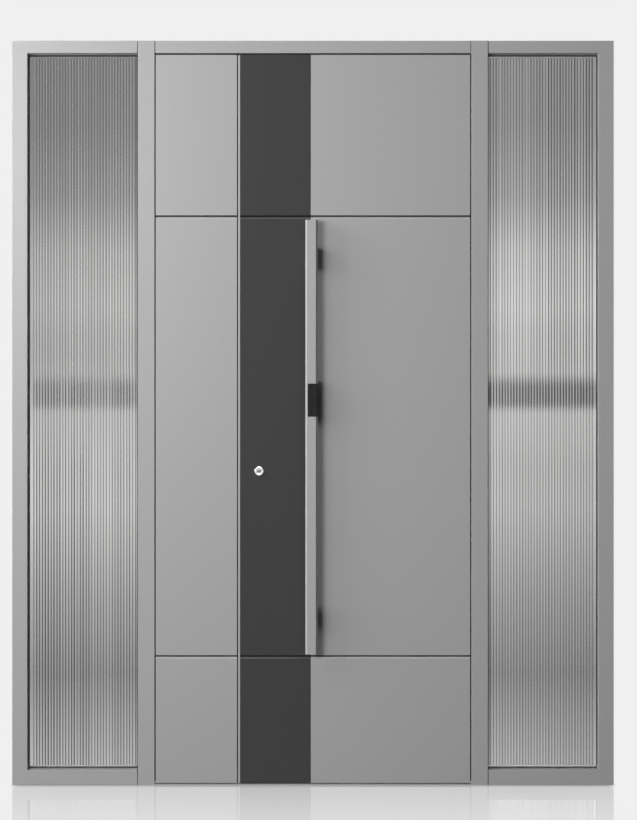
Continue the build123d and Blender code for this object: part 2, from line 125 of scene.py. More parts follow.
# Lock
LOCK_X = -0.1735
LOCK_Z = 1.012
LOCK_BORE = 0.0088
LOCK_RIM = 0.0020
LOCK_TOP_RADIUS = 0.0104
LOCK_RIM_SHARE = 0.8
LOCK_CHAMFER = 0.0006
DOME_INSET = 0.0002
DOME_STEPS = 12
KEYWAY_LENGTH = 0.0106
KEYWAY_HEIGHT = 0.0033
KEYWAY_DEPTH = 0.004
KEYWAY_SETBACK = 0.0010
KEYWAY_CORNER = KEYWAY_HEIGHT / 2.2

# Reader, set in the pull bar
BAR_BEVEL = 0.006
READER_SIDE_STRIP = 0.0075
READER_SCREW_SPACING = 0.082
READER_SCREW_RADIUS = 0.0025
READER_SCREW_SETBACK = 0.0014
SENSOR_WIDTH = 0.0146
SENSOR_HEIGHT = 0.0516
SENSOR_CORNER = 0.0025
SENSOR_RECESS = 0.001
SENSOR_PROFILE = ((0.0, 0.0), (0.0, 0.4), (0.03, 0.65), (0.12, 0.75), (0.30, 0.80))

# Hinges and lock edge
HINGE_HEIGHT = 0.055
HINGE_PLATE_Y = 0.049
HINGE_AXIS = (0.5255, 0.057)
HINGE_RADIUS = 0.009
HINGE_SCREW_RADIUS = 0.0042
HINGE_SCREW_INSET = 0.013
HINGE_SCREW_SHARES = (0.22, 0.78)
HINGE_CAP = ((0.97, -0.0004), (0.97, 0.0004), (0.88, 0.0014), (0.62, 0.0021), (0.25, 0.0024))
EDGE_SCREW_RADIUS = 0.0034
FOREND_SCREW_LEVELS = (0.36, 0.60, 0.98, 1.24, 1.60, 2.02)
BOLT_LEVELS = (0.484, 1.104, 1.724)
STRIKE_SCREW_OFFSET = 0.053

# Screw heads, as shares of their radius
SCREW_DEPTH = 0.5
SCREW_CROWN = 0.14
SCREW_FACE = 0.86
SOCKET_TOP = 0.50
SOCKET_BOTTOM = 0.46
SOCKET_DEPTH = 0.35

# Softened edges of the coated and metal pieces, angles in radians
EDGE_ROUND = 0.0006
EDGE_SEGMENTS = 2
EDGE_ANGLE = math.radians(40)
SMOOTH_ANGLE = 0.6


# Materials

def node_tree(name):
    material = bpy.data.materials.new(name)
    material.use_nodes = True
    tree = material.node_tree
    shader = tree.nodes["Principled BSDF"]
    return material, tree, shader


def add(tree, kind, **values):
    node = tree.nodes.new(kind)
    for key, value in values.items():
        setattr(node, key, value)
    return node


def object_coordinates(tree, stretch=(1, 1, 1)):
    coordinates = add(tree, "ShaderNodeTexCoord")
    mapping = add(tree, "ShaderNodeMapping")
    mapping.inputs["Scale"].default_value = stretch
    tree.links.new(coordinates.outputs["Object"], mapping.inputs["Vector"])
    return mapping.outputs["Vector"]


def noise(tree, vector, scale, detail=2.0, rough=0.5):
    node = add(tree, "ShaderNodeTexNoise")
    node.inputs["Scale"].default_value = scale
    node.inputs["Detail"].default_value = detail
    node.inputs["Roughness"].default_value = rough
    tree.links.new(vector, node.inputs["Vector"])
    return node.outputs["Fac"]


def span(tree, value, low, high, from_low=0.0, from_high=1.0):
    node = add(tree, "ShaderNodeMapRange")
    node.inputs["From Min"].default_value = from_low
    node.inputs["From Max"].default_value = from_high
    node.inputs["To Min"].default_value = low
    node.inputs["To Max"].default_value = high
    tree.links.new(value, node.inputs["Value"])
    return node.outputs["Result"]


def number(tree, socket, value):
    if isinstance(value, (int, float)):
        socket.default_value = value
    else:
        tree.links.new(value, socket)


def calculate(tree, operation, first, second=0.0):
    node = add(tree, "ShaderNodeMath", operation=operation)
    number(tree, node.inputs[0], first)
    number(tree, node.inputs[1], second)
    return node.outputs["Value"]


def shades(tree, value, dark, light):
    ramp = add(tree, "ShaderNodeValToRGB")
    ramp.color_ramp.elements[0].position = 0.25
    ramp.color_ramp.elements[0].color = (*dark, 1)
    ramp.color_ramp.elements[1].position = 0.75
    ramp.color_ramp.elements[1].color = (*light, 1)
    tree.links.new(value, ramp.inputs["Fac"])
    return ramp.outputs["Color"]


def bump(tree, height, strength, distance, below=None):
    node = add(tree, "ShaderNodeBump")
    node.inputs["Strength"].default_value = strength
    node.inputs["Distance"].default_value = distance
    tree.links.new(height, node.inputs["Height"])
    if below is not None:
        tree.links.new(below, node.inputs["Normal"])
    return node.outputs["Normal"]


def tinted(colour, factor):
    return tuple(c * factor for c in colour)


def powder_coat(name, colour, rough_low, rough_high, grain):
    """Sprayed coat with a fine even grain and a slight orange peel."""
    material, tree, shader = node_tree(name)
    vector = object_coordinates(tree)
    cloud = noise(tree, vector, COAT_CLOUD, 3.0)
    peel = noise(tree, vector, COAT_PEEL, 2.0)
    speck = noise(tree, vector, COAT_SPECK, 1.0)
    colour_out = shades(tree, speck, tinted(colour, 1 - COAT_SPREAD), tinted(colour, 1 + COAT_SPREAD))
    tree.links.new(colour_out, shader.inputs["Base Color"])
    tree.links.new(span(tree, cloud, rough_low, rough_high), shader.inputs["Roughness"])
    low = bump(tree, peel, grain, PEEL_HEIGHT)
    tree.links.new(bump(tree, speck, grain, SPECK_HEIGHT, low), shader.inputs["Normal"])
    shader.inputs["Specular IOR Level"].default_value = COAT_SHEEN
    return material


def moulded(name, colour, rough_low, rough_high, scale, strength, sheen=MATT_SHEEN):
    """Matt moulded plastic or rubber with a fine skin."""
    material, tree, shader = node_tree(name)
    vector = object_coordinates(tree)
    skin = noise(tree, vector, scale, 3.0)
    cloud = noise(tree, vector, SKIN_CLOUD, 2.0)
    colour_out = shades(tree, cloud, tinted(colour, 1 - SKIN_SPREAD), tinted(colour, 1 + SKIN_SPREAD))
    tree.links.new(colour_out, shader.inputs["Base Color"])
    tree.links.new(span(tree, skin, rough_low, rough_high), shader.inputs["Roughness"])
    tree.links.new(bump(tree, skin, strength, SKIN_HEIGHT), shader.inputs["Normal"])
    shader.inputs["Specular IOR Level"].default_value = sheen
    return material


def glazing_rubber(name, ring, dark, pale):
    """Rubber of the glazing rings, black at the sides and a paler grey along the sill and the head."""
    material = moulded(name, dark, *RUBBER_SKIN)
    tree = material.node_tree
    low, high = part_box(ring)
    parts = add(tree, "ShaderNodeSeparateXYZ")
    tree.links.new(object_coordinates(tree), parts.inputs["Vector"])
    height = calculate(tree, "SUBTRACT", parts.outputs["Z"], (low[2] + high[2]) / 2)
    reach = (high[2] - low[2]) / 2 - GASKET_END
    share = span(tree, calculate(tree, "ABSOLUTE", height), 0.0, 1.0, reach - GASKET_FADE, reach)
    shader = tree.nodes["Principled BSDF"]
    tree.links.new(shades(tree, share, dark, pale), shader.inputs["Base Color"])
    return material


def metal(name, colour, rough_low, rough_high, stretch, scale, strength):
    """Bare metal with fine lines along its length."""
    material, tree, shader = node_tree(name)
    vector = object_coordinates(tree, stretch)
    lines = noise(tree, vector, scale, 4.0, 0.6)
    dark, light = (tinted(colour, shade) for shade in METAL_SHADES)
    colour_out = shades(tree, lines, dark, light)
    tree.links.new(colour_out, shader.inputs["Base Color"])
    tree.links.new(span(tree, lines, rough_low, rough_high), shader.inputs["Roughness"])
    tree.links.new(bump(tree, lines, strength, METAL_HEIGHT), shader.inputs["Normal"])
    shader.inputs["Metallic"].default_value = 1.0
    return material


def clear_glass(name, tint, roughness, strength):
    """Float or rolled glass with a faint ripple."""
    material, tree, shader = node_tree(name)
    vector = object_coordinates(tree)
    ripple = noise(tree, vector, GLASS_RIPPLE, 1.0)
    cloud = noise(tree, vector, GLASS_CLOUD, 2.0)
    colour_out = shades(tree, cloud, tinted(tint, GLASS_SHADE), tint)
    tree.links.new(colour_out, shader.inputs["Base Color"])
    tree.links.new(bump(tree, ripple, strength, GLASS_HEIGHT), shader.inputs["Normal"])
    shader.inputs["Roughness"].default_value = roughness
    shader.inputs["IOR"].default_value = GLASS_IOR
    shader.inputs["Transmission Weight"].default_value = 1.0
    return material


grey_coat = powder_coat("grey_powder_coat", GREY, 0.40, 0.47, 0.10)
handle_coat = powder_coat("handle_coat", HANDLE_GREY, 0.34, 0.40, 0.07)
dark_coat = powder_coat("anthracite_coat", ANTHRACITE, 0.40, 0.47, 0.09)
black_plastic = moulded("black_polyamide", BLACK, 0.50, 0.62, 900.0, 0.10)
reader_plastic = moulded("reader_housing", BLACK, 0.42, 0.52, 1400.0, 0.06)
sensor_window = moulded("sensor_window", tinted(BLACK, 0.9), 0.34, 0.40, 1400.0, 0.02)
deep_black = moulded("blackened_screws", tinted(BLACK, 0.2), 0.60, 0.70, 1400.0, 0.02, 0.0)
# Dark grey that paints shade into the bottom of the grooves
groove_shade_grey = moulded("groove_painted_shade", SHADED_GREY, 0.60, 0.72, 900.0, 0.08)
spacer_grey = moulded("pale_grey_polymer", SPACER_GREY, 0.60, 0.70, 700.0, 0.05, 0.0)
black_rubber = moulded("black_rubber", RUBBER_BLACK, *RUBBER_SKIN)
ring_rubber = glazing_rubber("ring_rubber", "outer_glazing_gaskets", RUBBER_BLACK, GASKET_GREY)
brushed_steel = metal("brushed_steel", STEEL, 0.24, 0.36, (30, 30, 1), 60.0, 0.10)
polished_steel = metal("polished_steel", BRIGHT_STEEL, 0.12, 0.20, (1, 1, 1), 300.0, 0.02)
screw_steel = metal("screw_steel", STEEL, 0.28, 0.40, (1, 1, 1), 500.0, 0.05)
# Near-black steel that paints the shade inside the keyways
keyway_shade_black = metal("keyway_shade_steel", tinted(STEEL, 0.02), 0.40, 0.50, (1, 1, 1), 500.0, 0.05)
fluted_glass = clear_glass("fluted_glass", GLASS_TINT, 0.03, 0.10)
float_glass = clear_glass("float_glass", GLASS_TINT, 0.0, 0.02)

SLOT_MATERIALS = {
    "grey_coat": grey_coat,
    "anthracite_coat": dark_coat,
    "handle_coat": handle_coat,
    "glass": float_glass,
    "black_plastic": black_plastic,
    "black_rubber": black_rubber,
    "brushed_steel": brushed_steel,
    "polished_steel": polished_steel,
}
ROUNDED_SLOTS = ("grey_coat", "anthracite_coat", "handle_coat", "brushed_steel")

for row in frame["record"]["subparts"]:
    node = NODES[row["node"]]
    for place in node.material_slots:
        place.material = SLOT_MATERIALS[row["material_slot"]]
    if row["material_slot"] in ROUNDED_SLOTS:
        edges = node.modifiers.new("softened_edges", "BEVEL")
        edges.width = EDGE_ROUND
        edges.segments = EDGE_SEGMENTS
        edges.limit_method = "ANGLE"
        edges.angle_limit = EDGE_ANGLE
        edges.harden_normals = True
for name, material in (
    ("fingerprint_reader", reader_plastic),
    ("outer_glazing_gaskets", ring_rubber),
    ("glass_spacers", spacer_grey),
    ("inner_glazing_gaskets", spacer_grey),
):
    for place in NODES[name].material_slots:
        place.material = material


# Shapes: each one is a list of points and a list of faces

def joined(shapes):
    points = []
    faces = []
    for more_points, more_faces in shapes:
        start = len(points)
        points += more_points
        faces += [tuple(start + i for i in face) for face in more_faces]
    return points, faces


def stacked(rings, closed=False):
    """Skin over rings of points, capped at both ends or closed back to the first ring."""
    count = len(rings[0])
    points = [tuple(p) for ring in rings for p in ring]
    faces = []
    for ring in range(len(rings) if closed else len(rings) - 1):
        low = ring * count
        high = (ring + 1) % len(rings) * count
        for k in range(count):
            after = (k + 1) % count
            faces.append((low + k, low + after, high + after, high + k))
    if not closed:
        last = len(points) - count
        faces.append(tuple(range(count - 1, -1, -1)))
        faces.append(tuple(range(last, last + count)))
    return points, faces


def prism(outline, sweep):
    far = [tuple(a + b for a, b in zip(point, sweep)) for point in outline]
    return stacked([outline, far])


def turned(profile, centre, axis, segments=48, closed=False):
    """Profile of (radius, height) turned about an axis; a radius may depend on the angle."""
    turn = Vector((0, 0, 1)).rotation_difference(Vector(axis)).to_matrix()
    rings = []
    for radius, height in profile:
        ring = []
        for k in range(segments):
            angle = 2 * math.pi * k / segments
            reach = radius(angle) if callable(radius) else radius
            offset = Vector((reach * math.cos(angle), reach * math.sin(angle), height))
            ring.append(tuple(Vector(centre) + turn @ offset))
        rings.append(ring)
    return stacked(rings, closed)


def rounded_outline(half_width, half_height, radius, steps=6):
    """Rectangle with rounded corners, as pairs."""
    pairs = []
    for quarter, (sx, sz) in enumerate([(1, 1), (-1, 1), (-1, -1), (1, -1)]):
        for step in range(steps + 1):
            angle = (quarter + step / steps) * math.pi / 2
            x = sx * (half_width - radius) + radius * math.cos(angle)
            z = sz * (half_height - radius) + radius * math.sin(angle)
            pairs.append((x, z))
    return pairs


def hexagon(radius):
    sixth = math.pi / 3
    return lambda angle: radius * math.cos(sixth / 2) / math.cos(angle % sixth - sixth / 2)


def screw_head(centre, axis, radius):
    """Flat screw head with a small chamfer and a hexagon socket, its underside below the surface."""
    crown = SCREW_CROWN * radius
    profile = [
        (radius, -SCREW_DEPTH * radius),
        (radius, 0.0),
        (SCREW_FACE * radius, crown),
        (hexagon(SOCKET_TOP * radius), crown),
        (hexagon(SOCKET_BOTTOM * radius), -SOCKET_DEPTH * radius),
    ]
    return turned(profile, centre, axis, 24)


def mesh_piece(name, shape, material, body, smooth_angle=SMOOTH_ANGLE):
    points, faces = shape
    mesh = bpy.data.meshes.new(name)
    mesh.from_pydata(points, [], faces)
    mesh.materials.append(material)
    work = bmesh.new()
    work.from_mesh(mesh)
    bmesh.ops.recalc_face_normals(work, faces=work.faces)
    for face in work.faces:
        face.smooth = True
    for edge in work.edges:
        edge.smooth = edge.calc_face_angle(math.pi) < smooth_angle
    work.to_mesh(mesh)
    work.free()
    piece = bpy.data.objects.new(name, mesh)
    bpy.context.scene.collection.objects.link(piece)
    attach(piece, body)
    return piece


# Sidelight panes

def fluted_pane(node, seed):
    """Rolled pane: rounded flutes outside, each a little uneven, and a flat back."""
    draw = random.Random(seed)
    low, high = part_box(node)
    margin = (high[0] - low[0] - FLUTE_COUNT * FLUTE_PITCH) / 2
    valley = low[1] + FLUTE_DEPTH
    depth = [draw.uniform(*FLUTE_SHARES) for _ in range(FLUTE_COUNT)]
    lean = [draw.uniform(-FLUTE_LEAN, FLUTE_LEAN) for _ in range(FLUTE_COUNT)]
    phase = [draw.uniform(0, 2 * math.pi) for _ in range(FLUTE_COUNT)]
    rows = []
    for row in range(FLUTE_ROWS + 1):
        z = low[2] + (high[2] - low[2]) * row / FLUTE_ROWS
        line = [(low[0], valley, z)]
        for flute in range(FLUTE_COUNT):
            swell = 1 + FLUTE_SWELL * math.sin(FLUTE_SWELL_RATE * z + phase[flute])
            crest = FLUTE_DEPTH * FLUTE_FULL * depth[flute] * swell
            for step in range(FLUTE_STEPS):
                t = (step + 0.5) / FLUTE_STEPS * 2 - 1
                x = low[0] + margin + (flute + (t + 1) / 2) * FLUTE_PITCH
                line.append((x, valley - crest * (1 - t * t) * (1 + lean[flute] * t), z))
        line += [(high[0], valley, z), (high[0], high[1], z), (low[0], high[1], z)]
        rows.append(line)
    shape = stacked(rows)
    piece = mesh_piece(node + "_glass", shape, fluted_glass, "frame", FLUTE_SMOOTH_ANGLE)
    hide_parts(node)


fluted_pane("left_fluted_pane", seed=11)
fluted_pane("right_fluted_pane", seed=23)


# Leaf face

def painted_groove_shade():
    """Dark liner along the bottom of each groove, painting the shade the groove holds; darker across the
    accent strip.
    """
    for material, slot, name, nodes in (
        (groove_shade_grey, "anthracite_coat", "panel_groove_painted_shade", ("left_face_panel", "right_face_panel")),
        (black_plastic, "black_plastic", "strip_groove_painted_shade", ("accent_strip",)),
    ):
        shapes = []
        for node in nodes:
            low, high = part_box(node)
            back = low[1] + GROOVE_DEPTH
            front = back - STRIP_DEPTH
            for level in GROOVE_LEVELS:
                z0 = level + FIT
                z1 = level + GROOVE_HEIGHT - FIT
                outline = [
                    (low[0] + FIT, back, z0),
                    (low[0] + FIT, front, z0),
                    (low[0] + FIT, front + STRIP_DEPTH / 3, (z0 + z1) / 2),
                    (low[0] + FIT, front, z1),
                    (low[0] + FIT, back, z1),
                ]
                shapes.append(prism(outline, (high[0] - low[0] - 2 * FIT, 0, 0)))
        mesh_piece(name, joined(shapes), material, "leaf")


def reveal_painted_shade():
    """Black strip in the narrow reveal between the left panel and the trim, painting the shade of the
    gap there.
    """
    panel_low, panel_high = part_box("left_face_panel")
    trim_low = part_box("accent_trim")[0]
    x0 = panel_high[0] + FIT
    x1 = trim_low[0] - FIT
    back = panel_high[1]
    front = back - STRIP_DEPTH
    outline = [
        (x0, back, panel_low[2]),
        (x1, back, panel_low[2]),
        (x1, front, panel_low[2]),
        ((x0 + x1) / 2, front + STRIP_DEPTH / 3, panel_low[2]),
        (x0, front, panel_low[2]),
    ]
    shape = prism(outline, (0, 0, panel_high[2] - panel_low[2]))
    mesh_piece("reveal_painted_shade", shape, black_rubber, "leaf")


painted_groove_shade()
reveal_painted_shade()


# Frame joints

def joint_seals():
    """Thin seal along each mullion's outer side, and at the ends of the rail over the leaf."""
    shapes = []
    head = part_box("door_head_rail")
    for side, way in (("left", -1), ("right", 1)):
        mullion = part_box(side + "_mullion")
        outside = mullion[0][0] if way < 0 else mullion[1][0]
        inside = mullion[1][0] if way < 0 else mullion[0][0]
        for edge, away, (low, high) in ((outside, way, mullion), (inside, -way, head)):
            x0 = edge + away * FIT
            x1 = edge + away * (JOINT_GAP - FIT)
            front = low[1] + JOINT_SETBACK
            back = front + JOINT_DEPTH
            outline = [
                (x0, back, low[2]),
                (x0, front, low[2]),
                ((x0 + x1) / 2, front + JOINT_GAP / 4, low[2]),
                (x1, front, low[2]),
                (x1, back, low[2]),
            ]
            shapes.append(prism(outline, (0, 0, high[2] - low[2] - FIT)))
    mesh_piece("joint_seals", joined(shapes), black_rubber, "frame")


joint_seals()


# Lock

def lock_trim():
    """Domed ring on both faces of the leaf, and a near-black block in each keyway that paints the shade
    of the slot.
    """
    ring_low, ring_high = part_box("lock_rosettes")
    plug_low, plug_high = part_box("lock_plugs")
    leaf_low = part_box("left_face_panel")[0]
    leaf_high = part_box("inner_face_panel")[1]
    radius = (ring_high[0] - ring_low[0]) / 2
    rings = []
    keyway_shades = []
    faces = [(leaf_low[1], ring_low[1], plug_low[1], -1), (leaf_high[1], ring_high[1], plug_high[1], 1)]
    for base, top, plug, out in faces:
        height = abs(top - base)
        profile = [(LOCK_BORE, 0.0), (radius, 0.0), (radius, LOCK_RIM * LOCK_RIM_SHARE)]
        for step in range(DOME_STEPS + 1):
            angle = step / DOME_STEPS * math.pi / 2
            reach = LOCK_TOP_RADIUS + (radius - DOME_INSET - LOCK_TOP_RADIUS) * math.cos(angle)
            profile.append((reach, LOCK_RIM + (height - LOCK_RIM) * math.sin(angle)))
        profile += [(LOCK_BORE + LOCK_CHAMFER, height), (LOCK_BORE, height - LOCK_CHAMFER)]
        rings.append(turned(profile, (LOCK_X, base, LOCK_Z), (0, out, 0), 64, True))
        near = plug - out * KEYWAY_SETBACK
        outline = rounded_outline(KEYWAY_LENGTH / 2, KEYWAY_HEIGHT / 2, KEYWAY_CORNER)
        front = [(LOCK_X + x, near, LOCK_Z + z) for x, z in outline]
        keyway_shades.append(prism(front, (0, -out * (KEYWAY_DEPTH - KEYWAY_SETBACK), 0)))
    piece = mesh_piece("lock_rings", joined(rings), polished_steel, "leaf")
    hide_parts("lock_rosettes")
    mesh_piece("keyway_painted_shade", joined(keyway_shades), keyway_shade_black, "leaf")


lock_trim()


# Reader

def reader_details():
    """Dark sensor window in the reader's recess, and its two fixing screws."""
    bar_low, bar_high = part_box("pull_bar")
    low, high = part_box("fingerprint_reader")
    x = (bar_low[0] + READER_SIDE_STRIP + bar_high[0] - BAR_BEVEL) / 2
    z = (low[2] + high[2]) / 2
    rings = []
    for inset, rise in SENSOR_PROFILE:
        half_width = SENSOR_WIDTH / 2 * (1 - inset)
        half_height = SENSOR_HEIGHT / 2 - SENSOR_WIDTH / 2 * inset
        outline = rounded_outline(half_width, half_height, SENSOR_CORNER)
        y = low[1] + SENSOR_RECESS * (1 - rise)
        rings.append([(x + px, y, z + pz) for px, pz in outline])
    mesh_piece("sensor_window", stacked(rings), sensor_window, "leaf")
    screws = []
    for way in (-1, 1):
        centre = (x, low[1] + READER_SCREW_SETBACK, z + way * READER_SCREW_SPACING / 2)
        screws.append(screw_head(centre, (0, -1, 0), READER_SCREW_RADIUS))
    mesh_piece("reader_screws", joined(screws), deep_black, "leaf")


reader_details()


# Hinges and lock edge

def hinge_fittings():
    """Plate screws and domed caps of the three hinges."""
    leaf_low, leaf_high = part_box("leaf_hinge_halves")
    frame_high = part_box("frame_hinge_halves")[1]
    first = leaf_low[2]
    last = leaf_high[2] - HINGE_HEIGHT
    cap = [(HINGE_RADIUS * share, height) for share, height in HINGE_CAP]
    leaf_screws = []
    frame_screws = []
    leaf_caps = []
    frame_caps = []
    for level in (first, (first + last) / 2, last):
        for share in HINGE_SCREW_SHARES:
            offset = share * HINGE_HEIGHT
            leaf_place = (leaf_low[0] + HINGE_SCREW_INSET, HINGE_PLATE_Y, level + offset)
            leaf_screws.append(screw_head(leaf_place, (0, 1, 0), HINGE_SCREW_RADIUS))
            frame_place = (frame_high[0] - HINGE_SCREW_INSET / 2, HINGE_PLATE_Y, level - offset)
            frame_screws.append(screw_head(frame_place, (0, 1, 0), HINGE_SCREW_RADIUS))
        leaf_caps.append(turned(cap, (*HINGE_AXIS, level + HINGE_HEIGHT), (0, 0, 1)))
        frame_caps.append(turned(cap, (*HINGE_AXIS, level - HINGE_HEIGHT), (0, 0, -1)))
    mesh_piece("leaf_hinge_screws", joined(leaf_screws), screw_steel, "leaf")
    mesh_piece("frame_hinge_screws", joined(frame_screws), screw_steel, "frame")
    mesh_piece("leaf_hinge_caps", joined(leaf_caps), handle_coat, "leaf")
    mesh_piece("frame_hinge_caps", joined(frame_caps), handle_coat, "frame")


def lock_edge_screws():
    """Screws of the lock's forend and of its strike plates."""
    forend_low, forend_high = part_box("lock_forend")
    strike_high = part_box("strike_plates")[1]
    y = (forend_low[1] + forend_high[1]) / 2
    forend = []
    for level in FOREND_SCREW_LEVELS:
        forend.append(screw_head((forend_low[0], y, level), (-1, 0, 0), EDGE_SCREW_RADIUS))
    mesh_piece("forend_screws", joined(forend), screw_steel, "leaf")
    strikes = []
    for level in BOLT_LEVELS:
        for way in (-1, 1):
            centre = (strike_high[0], y, level + way * STRIKE_SCREW_OFFSET)
            strikes.append(screw_head(centre, (1, 0, 0), EDGE_SCREW_RADIUS))
    mesh_piece("strike_screws", joined(strikes), screw_steel, "frame")


hinge_fittings()
lock_edge_screws()


# Camera at the photograph's viewpoint

camera_data = bpy.data.cameras.new("camera")
camera_data.sensor_width = SENSOR_MM
camera_data.lens = SENSOR_MM * CAMERA_DISTANCE / (PHOTO_HEIGHT_PX * METRES_PER_PX)
camera = bpy.data.objects.new("camera", camera_data)
door_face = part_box("right_face_panel")[0][1]
camera.location = (CAMERA_X, door_face - CAMERA_DISTANCE, CAMERA_Z)
camera.rotation_euler = (math.pi / 2, 0, 0)
bpy.context.scene.collection.objects.link(camera)
bpy.context.scene.camera = camera


# Lamps

# Name, place, target, width and height in metres, power in watts
LAMPS = [
    # Two in front on the left, one overhead, and two small ones by the upper left corner
    ("left_softbox", (-1.74, -4.79, 1.6), (0.0, 0.0, 1.2), 1.4, 1.0, 156.0),
    ("far_left_softbox", (-3.0, -4.13, 1.6), (0.0, 0.0, 1.2), 1.4, 1.0, 46.0),
    ("overhead_softbox", (-1.2, -1.6, 4.6), (-0.6, 0.0, 1.4), 1.2, 0.4, 22.0),
    ("edge_softbox", (-1.8, -0.7, 2.3), (-0.95, 0.0, 2.0), 0.4, 0.6, 6.4),
    ("corner_softbox", (-1.6, -1.15, 2.1), (-0.95, 0.0, 1.8), 0.4, 0.6, 8.2),
    # Behind the door's plane, for the inside, the edges and the top
    ("back_softbox", (1.0, 4.4, 1.2), (0.0, 0.0, 1.2), 3.0, 2.0, 190.0),
    ("right_softbox", (3.6, 0.9, 1.5), (0.9, 0.0, 1.2), 1.2, 2.2, 60.0),
    ("left_edge_softbox", (-3.6, 0.9, 1.5), (-0.9, 0.0, 1.2), 1.2, 2.2, 60.0),
    ("top_softbox", (0.0, 0.9, 5.0), (0.0, 0.0, 2.4), 2.4, 1.2, 90.0),
]


def area_light(name, place, target, width, height, power):
    data = bpy.data.lights.new(name, "AREA")
    data.shape = "RECTANGLE"
    data.size = width
    data.size_y = height
    data.energy = power
    lamp = bpy.data.objects.new(name, data)
    lamp.location = place
    lamp.rotation_euler = (Vector(target) - Vector(place)).to_track_quat("-Z", "Y").to_euler()
    lamp.visible_camera = False
    lamp.visible_transmission = False
    lamp.visible_glossy = False
    bpy.context.scene.collection.objects.link(lamp)


for lamp_values in LAMPS:
    area_light(*lamp_values)


# Surroundings

# View through the glass: grey by the height of a direction, a darker band at the horizon,
# and upright stripes whose depth changes from side to side
VIEW_REACH = 0.25
VIEW_LEVEL = 0.91
VIEW_STOPS = [
    (-0.25, 0.42),
    (-0.187, 0.42),
    (-0.139, 0.255),
    (-0.10, 0.36),
    (-0.052, 0.53),
    (0.0, 0.53),
    (0.025, 0.495),
    (0.040, 0.51),
    (0.055, 0.56),
    (0.084, 0.50),
    (0.113, 0.335),
    (0.151, 0.26),
    (0.19, 0.25),
    (0.205, 0.55),
    (0.25, 0.55),
]
HORIZON_STOPS = [(-0.25, 0.0), (-0.001, 0.0), (0.003, 1.0), (0.013, 1.0), (0.020, 0.0), (0.25, 0.0)]
HORIZON_DEPTH = 0.75
HORIZON_STRIPES = 0.6
HORIZON_DEPTH_LEFT = 0.05
HORIZON_SIDES = (-0.12, 0.10)
HORIZON_BLEND = 0.03
AHEAD = (0.75, 0.9)
LEVEL_TWIST = 1.7
STRIPE_TURNS = 10.5
STRIPE_SHIFT = 1.5
STRIPE_DEPTH = 0.40
STRIPE_TWIST = 1.9

# Light from above in reflections, from the left, and from all round
SKY_GLOSS = 11.0
SKY_RANGE = (0.75, 0.95)
SIDE_LIGHT = 5.29
SIDE_RANGE = (-0.95, -0.7)
SOFT_LIGHT = 0.005


def graded_ramp(tree, height, stops):
    """Grey by the height of a direction."""
    ramp = add(tree, "ShaderNodeValToRGB")
    elements = ramp.color_ramp.elements
    elements.remove(elements[1])
    for index, (level, value) in enumerate(stops):
        place = (level + VIEW_REACH) / (2 * VIEW_REACH)
        item = elements[0] if index == 0 else elements.new(place)
        item.position = place
        item.color = (value, value, value, 1)
    share = span(tree, height, 0.0, 1.0, -VIEW_REACH, VIEW_REACH)
    tree.links.new(share, ramp.inputs["Fac"])
    return ramp.outputs["Color"]


